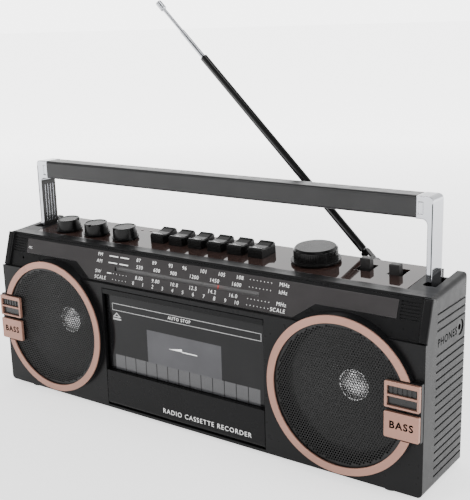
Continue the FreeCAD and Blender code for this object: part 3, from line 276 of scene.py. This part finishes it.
def paint_cad():
    """Gives each CAD node that stays in view its own material."""
    plan = {
        CABINET: ["front_cabinet"],
        REAR: ["rear_cabinet", "battery_door"],
        DOOR: ["cassette_door"],
        WINDOW: ["door_window"],
        DECK: ["deck_plate"],
        DIAL: ["dial_panel"],
        RED: ["dial_pointer"],
        ROSE: ["speaker_ring_left", "speaker_ring_right", "badge_frames", "badge_plates"],
        LOUVRE: ["badge_louvres"],
        SWITCH: ["function_switch", "band_switch"],
        KEY: ["record_key", "play_key", "rewind_key", "fast_forward_key", "stop_eject_key", "pause_key"],
        KNOB: ["volume_knob", "tone_knob", "balance_knob", "phones_jack"],
        CHROME: ["handle_arm_left", "handle_arm_right", "antenna_section", "antenna_rod"],
        GRIP: ["handle_grip"],
        ANTENNA: ["antenna_tube", "antenna_swivel"],
        # speaker baskets: near-black as painted shade, not their plated steel
        BASKET_PAINTED_SHADE: ["speaker_frame_left", "speaker_frame_right"],
        STEEL: ["handle_pivots", "case_screws", "antenna_screw",
                "mech_chassis", "head_bridge", "tape_heads", "motor", "capstan_flywheel", "battery_contacts",
                "potentiometers"],
        BRASS: ["motor_pulley"],
        RUBBER: ["feet", "pinch_roller", "drive_belt"],
        INNER: ["cassette_holder", "supply_spindle", "takeup_spindle", "tuning_capacitor", "power_inlet"],
        BOARD: ["main_board"],
        LAMP: ["indicator_lamps"],
    }
    for material, names in plan.items():
        for name in names:
            repaint(name, material)
    for side in SIDES:
        low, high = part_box(f"speaker_cone_{side}")
        repaint(f"speaker_cone_{side}", cone_paper(f"cone_paper_{side}", (low + high) / 2, DUST_CAP_R))
    low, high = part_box("tuning_knob")
    middle = (low + high) / 2
    for name, side in SIDES.items():
        line_inside(f"handle_arm_{name}", side)
    repaint("tuning_knob", spun_metal("knob_spun", (0.004, 0.004, 0.004), 0.20, middle, deck_normal()))


def line_inside(name, side):
    """Black plastic lining, below the grip, on the face of a handle arm that looks at the other arm."""
    below_grip, facing = 2.0 * MM, 0.3
    mesh = NODES[name].data
    mesh.materials.append(KEY)
    grip_low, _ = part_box("handle_grip")
    for face in mesh.polygons:
        if face.normal.x * side < -facing and face.center.z < grip_low.z - below_grip:
            face.material_index = 1


def repaint(name, material):
    mesh = NODES[name].data
    mesh.materials.clear()
    mesh.materials.append(material)
    mesh.shade_smooth()
    mesh.set_sharp_from_angle(angle=SMOOTH_BELOW)


# ---------------------------------------------------------------- places
def deck_normal():
    low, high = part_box("deck_plate")
    slope = math.atan2(high.z - low.z - DECK_THICK, high.y - low.y)
    return Vector((0, -math.sin(slope), math.cos(slope)))


def fascia_place():
    """Axes on the dial panel, from the middle of its lower edge: X along it, Y up it, Z out of it."""
    low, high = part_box("dial_panel")
    slope = Vector((0, math.sin(FASCIA_LEAN), math.cos(FASCIA_LEAN)))
    out = RIGHT.cross(slope)
    foot = Vector((0, low.y, high.z)) - slope * panel_length()
    foot.y = low.y
    return axes(foot + out * PRINT_LIFT, RIGHT, slope)


def panel_length():
    low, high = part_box("dial_panel")
    return (high.z - low.z - DIAL_THICK * math.sin(FASCIA_LEAN)) / math.cos(FASCIA_LEAN)


def front_place(node, x, z):
    """Axes on the front face of a node: X right, Y up, Z towards the viewer."""
    low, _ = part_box(node)
    return axes(Vector((x, low.y - PRINT_LIFT, z)), RIGHT, UP)


def axes(at, right, up):
    out = right.cross(up)
    turn = Matrix((right, up, out)).transposed()
    return Matrix.Translation(at) @ turn.to_4x4()


# ---------------------------------------------------------------- mesh helpers
def add_mesh(name, mesh, material, body, place=None):
    obj = bpy.data.objects.new(name, mesh)
    bpy.context.scene.collection.objects.link(obj)
    mesh.materials.clear()
    mesh.materials.append(material)
    if place is not None:
        mesh.transform(place)
    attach(obj, body)
    return obj


def flat_shapes(name, outlines, material, body, place):
    """Thin printed shapes from outlines in millimetres on the plane of place."""
    bm = bmesh.new()
    for outline in outlines:
        bm.faces.new([bm.verts.new((x * MM, y * MM, 0)) for x, y in outline])
    mesh = bpy.data.meshes.new(name)
    bm.to_mesh(mesh)
    bm.free()
    return add_mesh(name, mesh, material, body, place)


def rectangle(x0, y0, x1, y1):
    return [(x0, y0), (x1, y0), (x1, y1), (x0, y1)]


def hollow_rectangle(x0, y0, x1, y1, line):
    """Outline of a rectangle as four thin bars."""
    return [rectangle(x0, y0, x1, y0 + line), rectangle(x0, y1 - line, x1, y1),
            rectangle(x0, y0 + line, x0 + line, y1 - line), rectangle(x1 - line, y0 + line, x1, y1 - line)]


def lettering(words, height, spacing=1.0, weight=0.0):
    """One mesh of short texts; each is (text, x, y), centred on its place, in millimetres."""
    capital = 0.7         # a capital letter's height, as a share of the font's size
    bm = bmesh.new()
    for text, x, y in words:
        curve = bpy.data.curves.new("letters", "FONT")
        curve.body = text
        curve.align_x = "CENTER"
        curve.align_y = "CENTER"
        curve.size = height / capital * MM
        curve.space_character = spacing
        curve.offset = weight * MM
        curve.resolution_u = 3
        holder = bpy.data.objects.new("letters", curve)
        bpy.context.scene.collection.objects.link(holder)
        bpy.context.view_layer.update()
        made = bpy.data.meshes.new_from_object(holder)
        made.transform(Matrix.Translation((x * MM, y * MM, 0)))
        bm.from_mesh(made)
        bpy.data.objects.remove(holder)
        bpy.data.meshes.remove(made)
        bpy.data.curves.remove(curve)
    mesh = bpy.data.meshes.new("letters")
    bm.to_mesh(mesh)
    bm.free()
    return mesh


# ---------------------------------------------------------------- dial print
# Millimetres to the right of the panel's middle. The places in these rows, SCALE_ENDS and SCALE_X are
# copied from a scratch script's output, which the work order doesn't allow: see report.md.
FM_ROW = {"87": -41.0, "89": -27.1, "93": -13.1, "96": -1.6, "101": 13.9, "105": 28.3, "108": 42.3,
          "MHz": 75.0}
AM_ROW = {"530": -39.3, "600": -24.2, "900": -10.0, "1200": 7.0, "1450": 23.4, "1600": 40.4, "kHz": 74.8}
SW_ROW = {"8.00": -38.5, "9.00": -23.9, "10.8": -8.2, "12.5": 7.4, "14.2": 22.7, "16.0": 39.1, "MHz": 74.7}
ROW_UP = {"FM": 18.2, "AM": 13.6, "SW": 6.4, "SCALE": 2.5}
SCALE_ENDS = (-42.9, 42.4)
BAND_X = -76.0
SCALE_X = (-73.3, 72.7)
SCALE_STEPS = 10
RIGHT_DOTS = (50.0, 2.6, 7)     # first place, pitch and count of the dots of a row
LEFT_DOTS = (-62.0, 3.0, 5)
DOT_W = 0.45
BAR_STARTS = (-67.5, -57.5)     # plain bars in place of the band descriptions
BAR_W, SHORT_BAR_W, BAR_HALF_H = 8.0, 4.0, 0.35


def dial_words():
    words = []
    for band, row in (("FM", FM_ROW), ("AM", AM_ROW), ("SW", SW_ROW)):
        words.append((band, BAND_X, ROW_UP[band]))
        words.extend((text, x, ROW_UP[band]) for text, x in row.items())
    step = (SCALE_ENDS[1] - SCALE_ENDS[0]) / SCALE_STEPS
    words.extend((str(i), SCALE_ENDS[0] + i * step, ROW_UP["SCALE"]) for i in range(SCALE_STEPS + 1))
    words.extend(("SCALE", x, ROW_UP["SCALE"]) for x in SCALE_X)
    return words


def dot_row(up, dots):
    first, pitch, count = dots
    places = [first + i * pitch for i in range(count)]
    return [rectangle(x, up - 0.2, x + DOT_W, up + 0.25) for x in places]


def bar(x, up, width):
    return rectangle(x, up - BAR_HALF_H, x + width, up + BAR_HALF_H)


def dial_print():
    add_mesh("dial_numbers", lettering(dial_words(), 2.4, spacing=1.15), WHITE, "cabinet",
             fascia_place())
    marks = []
    for up in ROW_UP.values():
        marks.extend(dot_row(up, RIGHT_DOTS))
    for row in ("SW", "SCALE"):
        marks.extend(dot_row(ROW_UP[row], LEFT_DOTS))
    for row in ("FM", "AM"):
        marks.extend(bar(x, ROW_UP[row], BAR_W) for x in BAR_STARTS)
    marks.append(bar(BAR_STARTS[0], ROW_UP["SW"], SHORT_BAR_W))
    flat_shapes("dial_leaders", marks, WHITE, "cabinet", fascia_place())


def dial_strip():
    """Pale translucent bar behind the slot that the pointer shows in."""
    behind = fascia_place() @ Matrix.Translation((0, 0, -1.58 * MM))
    flat_shapes("dial_strip", [rectangle(-61.5, 8.6, 58.2, 11.6)], STRIP, "cabinet", behind)


def mic_label():
    """Small label beside the microphone hole, at the left end of the dial panel."""
    add_mesh("mic_label", lettering([("MIC", -146.0, 14.5)], 1.6), WHITE, "cabinet",
             fascia_place())


# ---------------------------------------------------------------- door print
def eject_mark(place):
    """Triangle outline over a bar."""
    left, right, foot, tip = -63.0, -55.6, 69.6, 73.0
    middle = (left + right) / 2
    outer = [(left, foot), (right, foot), (middle, tip)]
    inner = [(left + 1.8, foot + 0.7), (right - 1.8, foot + 0.7), (middle, tip - 1.0)]
    sides = [[outer[i], outer[(i + 1) % 3], inner[(i + 1) % 3], inner[i]] for i in range(3)]
    below = rectangle(left, foot - 2.0, right, foot - 0.8)
    flat_shapes("eject_mark", [*sides, below], GREY_PRINT, "cassette_door", place)


def cassette_sight(place):
    """Lighter sheet in the window with an arrow on it, and a row of hatched blocks below."""
    top, foot = 42.2, 31.3
    sheet_place = place @ Matrix.Translation((0, 0, -0.5 * PRINT_LIFT))
    flat_shapes("cassette_sight", [rectangle(-32.6, top, 29.7, 65.3)], WINDOW_LIGHT, "cassette_door",
                sheet_place)
    arrow = [[(-14.0, 55.0), (-2.6, 55.0), (-2.6, 57.0)], rectangle(-2.6, 54.6, 10.0, 55.3)]
    flat_shapes("direction_arrow", arrow, WHITE, "cassette_door", place)
    count, first, last, gap = 13, -62.6, 60.0, 0.7
    pitch = (last - first) / count
    lefts = [first + i * pitch for i in range(count)]
    blocks = [rectangle(x, foot, x + pitch - gap, top) for x in lefts]
    flat_shapes("window_blocks", blocks, BLOCKS, "cassette_door", place)


def door_print():
    place = front_place("door_window", 0, 0)
    frame_line = hollow_rectangle(-63.1, 74.4, 60.8, 79.5, 0.35)
    flat_shapes("window_bar", frame_line, GREY_PRINT, "cassette_door", place)
    add_mesh("window_words", lettering([("AUTO STOP", -4.0, 77.0)], 2.2, spacing=1.15), WHITE,
             "cassette_door", place)
    eject_mark(place)
    cassette_sight(place)
    label = front_place("cassette_door", 18.0 * MM, 11.3 * MM)
    add_mesh("door_words", lettering([("RADIO CASSETTE RECORDER", 0, 0)], 3.3, spacing=1.2), WHITE,
             "cassette_door", label)


def arm_lines():
    """Painted dark reflection: a black strip down the outer edge of each handle arm's front face, standing
    in for the dark reflection along the chrome edge.
    """
    from_edge, width, above_deck, below_top = 0.25, 0.65, 1.0, 4.0
    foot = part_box("deck_plate")[1].z / MM + above_deck
    for name, side in SIDES.items():
        low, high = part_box(f"handle_arm_{name}")
        outer = (high.x if side > 0 else -low.x) / MM
        x0, x1 = sorted((side * (outer - from_edge - width), side * (outer - from_edge)))
        line = rectangle(x0, foot, x1, high.z / MM - below_top)
        # each strip is a painted dark reflection on the chrome, not a real part of the arm
        flat_shapes(f"painted_reflection_line_{name}", [line], DARK_PRINT_AND_REFLECTION, "handle",
                    front_place(f"handle_arm_{name}", 0, 0))


def side_print():
    """Word in front of the headphone socket, on the right side."""
    low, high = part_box("phones_jack")
    _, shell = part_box("rear_cabinet")
    at = Vector((shell.x + PRINT_LIFT, low.y - 13.6 * MM, (low.z + high.z) / 2 - 0.8 * MM))
    place = axes(at, Vector((0, 1, 0)), UP)
    add_mesh("socket_word", lettering([("PHONES", 0, 0)], 4.6, spacing=1.15, weight=0.10), DARK_PRINT_AND_REFLECTION,
             "cabinet", place)


def badge_print():
    """Generic word on each badge plate."""
    low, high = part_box("badge_plates")
    half_plate = 10.6 * MM
    for name, side in SIDES.items():
        place = front_place("badge_plates", side * (high.x - half_plate), (low.z + high.z) / 2)
        add_mesh(f"badge_word_{name}", lettering([("BASS", 0, 0)], 4.2, spacing=1.2, weight=0.20),
                 DARK_PRINT_AND_REFLECTION, "cabinet", place)


# ---------------------------------------------------------------- grilles
def perforated_grille(name):
    """Sheet with round holes on a staggered grid, as large as its CAD disc."""
    low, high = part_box(f"speaker_grille_{name}")
    centre = (low + high) / 2
    radius = (high.x - low.x) / 2
    pitch = HOLE_PITCH
    row = pitch * math.sqrt(3) / 2
    bm = bmesh.new()
    grid = {}

    def corner(x, z):
        """Shared corner of the hexagons, held inside the sheet's own round edge."""
        reach = math.hypot(x, z)
        if reach > radius:
            x, z = x * radius / reach, z * radius / reach
        key = (round(x / MM, 3), round(z / MM, 3))
        if key not in grid:
            grid[key] = bm.verts.new((x, 0, z))
        return grid[key]

    rows = int(radius / row) + 2
    columns = int(radius / pitch) + 2
    for j in range(-rows, rows + 1):
        for i in range(-columns, columns + 1):
            x = (i + (j % 2) / 2) * pitch
            z = j * row
            reach = math.hypot(x, z)
            if reach > radius + pitch * 0.4:
                continue
            outer = []
            for k in range(6):
                angle = math.radians(60 * k + 30)
                outer.append(corner(x + math.cos(angle) * pitch / math.sqrt(3),
                                    z + math.sin(angle) * pitch / math.sqrt(3)))
            if reach > radius - pitch * 0.9:
                ring = list(dict.fromkeys(outer))
                if len(ring) > 2 and not bm.faces.get(ring):
                    bm.faces.new(ring)
                continue
            inner = []
            for k in range(HOLE_SIDES):
                angle = math.radians(360 / HOLE_SIDES * k + 30)
                inner.append(bm.verts.new((x + math.cos(angle) * HOLE_R, 0, z + math.sin(angle) * HOLE_R)))
            for k in range(6):
                a, b = outer[k], outer[(k + 1) % 6]
                p, q, r = inner[2 * k], inner[2 * k + 1], inner[(2 * k + 2) % HOLE_SIDES]
                bm.faces.new((a, b, r, q, p))
    bmesh.ops.recalc_face_normals(bm, faces=bm.faces)
    mesh = bpy.data.meshes.new(f"grille_{name}")
    bm.to_mesh(mesh)
    bm.free()
    place = Matrix.Translation((centre.x, centre.y, centre.z))
    obj = add_mesh(f"grille_{name}", mesh, GRILLE, "cabinet", place)
    thick = obj.modifiers.new("sheet", "SOLIDIFY")
    thick.thickness = (high.y - low.y) / 2
    thick.offset = 0
    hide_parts(f"speaker_grille_{name}")


# ---------------------------------------------------------------- stage
def floor_material():
    """Pale surface that glows of its own, more strongly away from the player, so it stays even."""
    material = surface("floor_pale", (0.80, 0.80, 0.80), 0.9, specular=0.0, grain=40.0, bumpiness=0.0,
                       edge=0.01, shade=0.004)
    tree = material.node_tree
    shader = tree.nodes["Principled BSDF"]
    where = tree.nodes.new("ShaderNodeTexCoord")
    distance = tree.nodes.new("ShaderNodeVectorMath")
    distance.operation = "LENGTH"
    glow = map_range(tree, FLOOR_FADE, FLOOR_GLOW)
    tree.links.new(where.outputs["Object"], distance.inputs[0])
    tree.links.new(distance.outputs["Value"], glow.inputs["Value"])
    tree.links.new(glow.outputs["Result"], shader.inputs["Emission Strength"])
    shader.inputs["Emission Color"].default_value = (1, 1, 1, 1)
    return material


def studio():
    """Wide plain floor."""
    bm = bmesh.new()
    for x, y in ((-1, -1), (1, -1), (1, 1), (-1, 1)):
        bm.verts.new((x * FLOOR_REACH, y * FLOOR_REACH, 0))
    bm.faces.new(bm.verts)
    mesh = bpy.data.meshes.new("floor")
    bm.to_mesh(mesh)
    bm.free()
    floor = bpy.data.objects.new("floor", mesh)
    bpy.context.scene.collection.objects.link(floor)
    mesh.materials.append(floor_material())


def area_light(name, at, target, width, height, power):
    data = bpy.data.lights.new(name, "AREA")
    data.shape = "RECTANGLE"
    data.size = width
    data.size_y = height
    data.energy = power
    light = bpy.data.objects.new(name, data)
    light.location = at
    light.rotation_mode = "QUATERNION"
    light.rotation_quaternion = (Vector(target) - Vector(at)).to_track_quat("-Z", "Y")
    bpy.context.scene.collection.objects.link(light)


def studio_world():
    """White just above the horizon, pale higher up, and a dim ceiling; brighter behind the player."""
    world = bpy.data.worlds.new("studio")
    world.use_nodes = True
    tree = world.node_tree
    where = tree.nodes.new("ShaderNodeTexCoord")
    split = tree.nodes.new("ShaderNodeSeparateXYZ")
    ramp = tree.nodes.new("ShaderNodeValToRGB")
    stops = ((0.10, 1.0), (0.20, HAZE), (0.55, HAZE), (0.80, CEILING))
    for i, (height, level) in enumerate(stops):
        stop = ramp.color_ramp.elements[i] if i < 2 else ramp.color_ramp.elements.new(height)
        stop.position = height
        stop.color = (level, level, level, 1)
    tree.links.new(where.outputs["Generated"], split.inputs["Vector"])
    tree.links.new(split.outputs["Z"], ramp.inputs["Fac"])
    tree.links.new(ramp.outputs["Color"], tree.nodes["Background"].inputs["Color"])
    depth = map_range(tree, WORLD_FADE, WORLD_GLOW)
    tree.links.new(split.outputs["Y"], depth.inputs["Value"])
    tree.links.new(depth.outputs["Result"], tree.nodes["Background"].inputs["Strength"])
    bpy.context.scene.world = world


def lighting():
    studio_world()
    for name, (at, width, height, power) in LAMPS.items():
        area_light(name, at, LIT_POINT, width, height, power)


def camera():
    data = bpy.data.cameras.new("camera")
    cam = bpy.data.objects.new("camera", data)
    bpy.context.scene.collection.objects.link(cam)
    look = (CAMERA_TARGET - CAMERA_AT).normalized()
    right = look.cross(UP).normalized()
    up = right.cross(look)
    right_rolled = right * math.cos(CAMERA_ROLL) + up * math.sin(CAMERA_ROLL)
    up_rolled = up * math.cos(CAMERA_ROLL) - right * math.sin(CAMERA_ROLL)
    turn = Matrix((right_rolled, up_rolled, -look)).transposed()
    cam.matrix_world = Matrix.Translation(CAMERA_AT) @ turn.to_4x4()
    data.lens = LENS
    data.clip_start = 0.01
    data.clip_end = 60
    bpy.context.scene.camera = cam


paint_cad()
dial_print()
dial_strip()
mic_label()
door_print()
arm_lines()
side_print()
badge_print()
for side_name in SIDES:
    perforated_grille(side_name)
studio()
lighting()
camera()
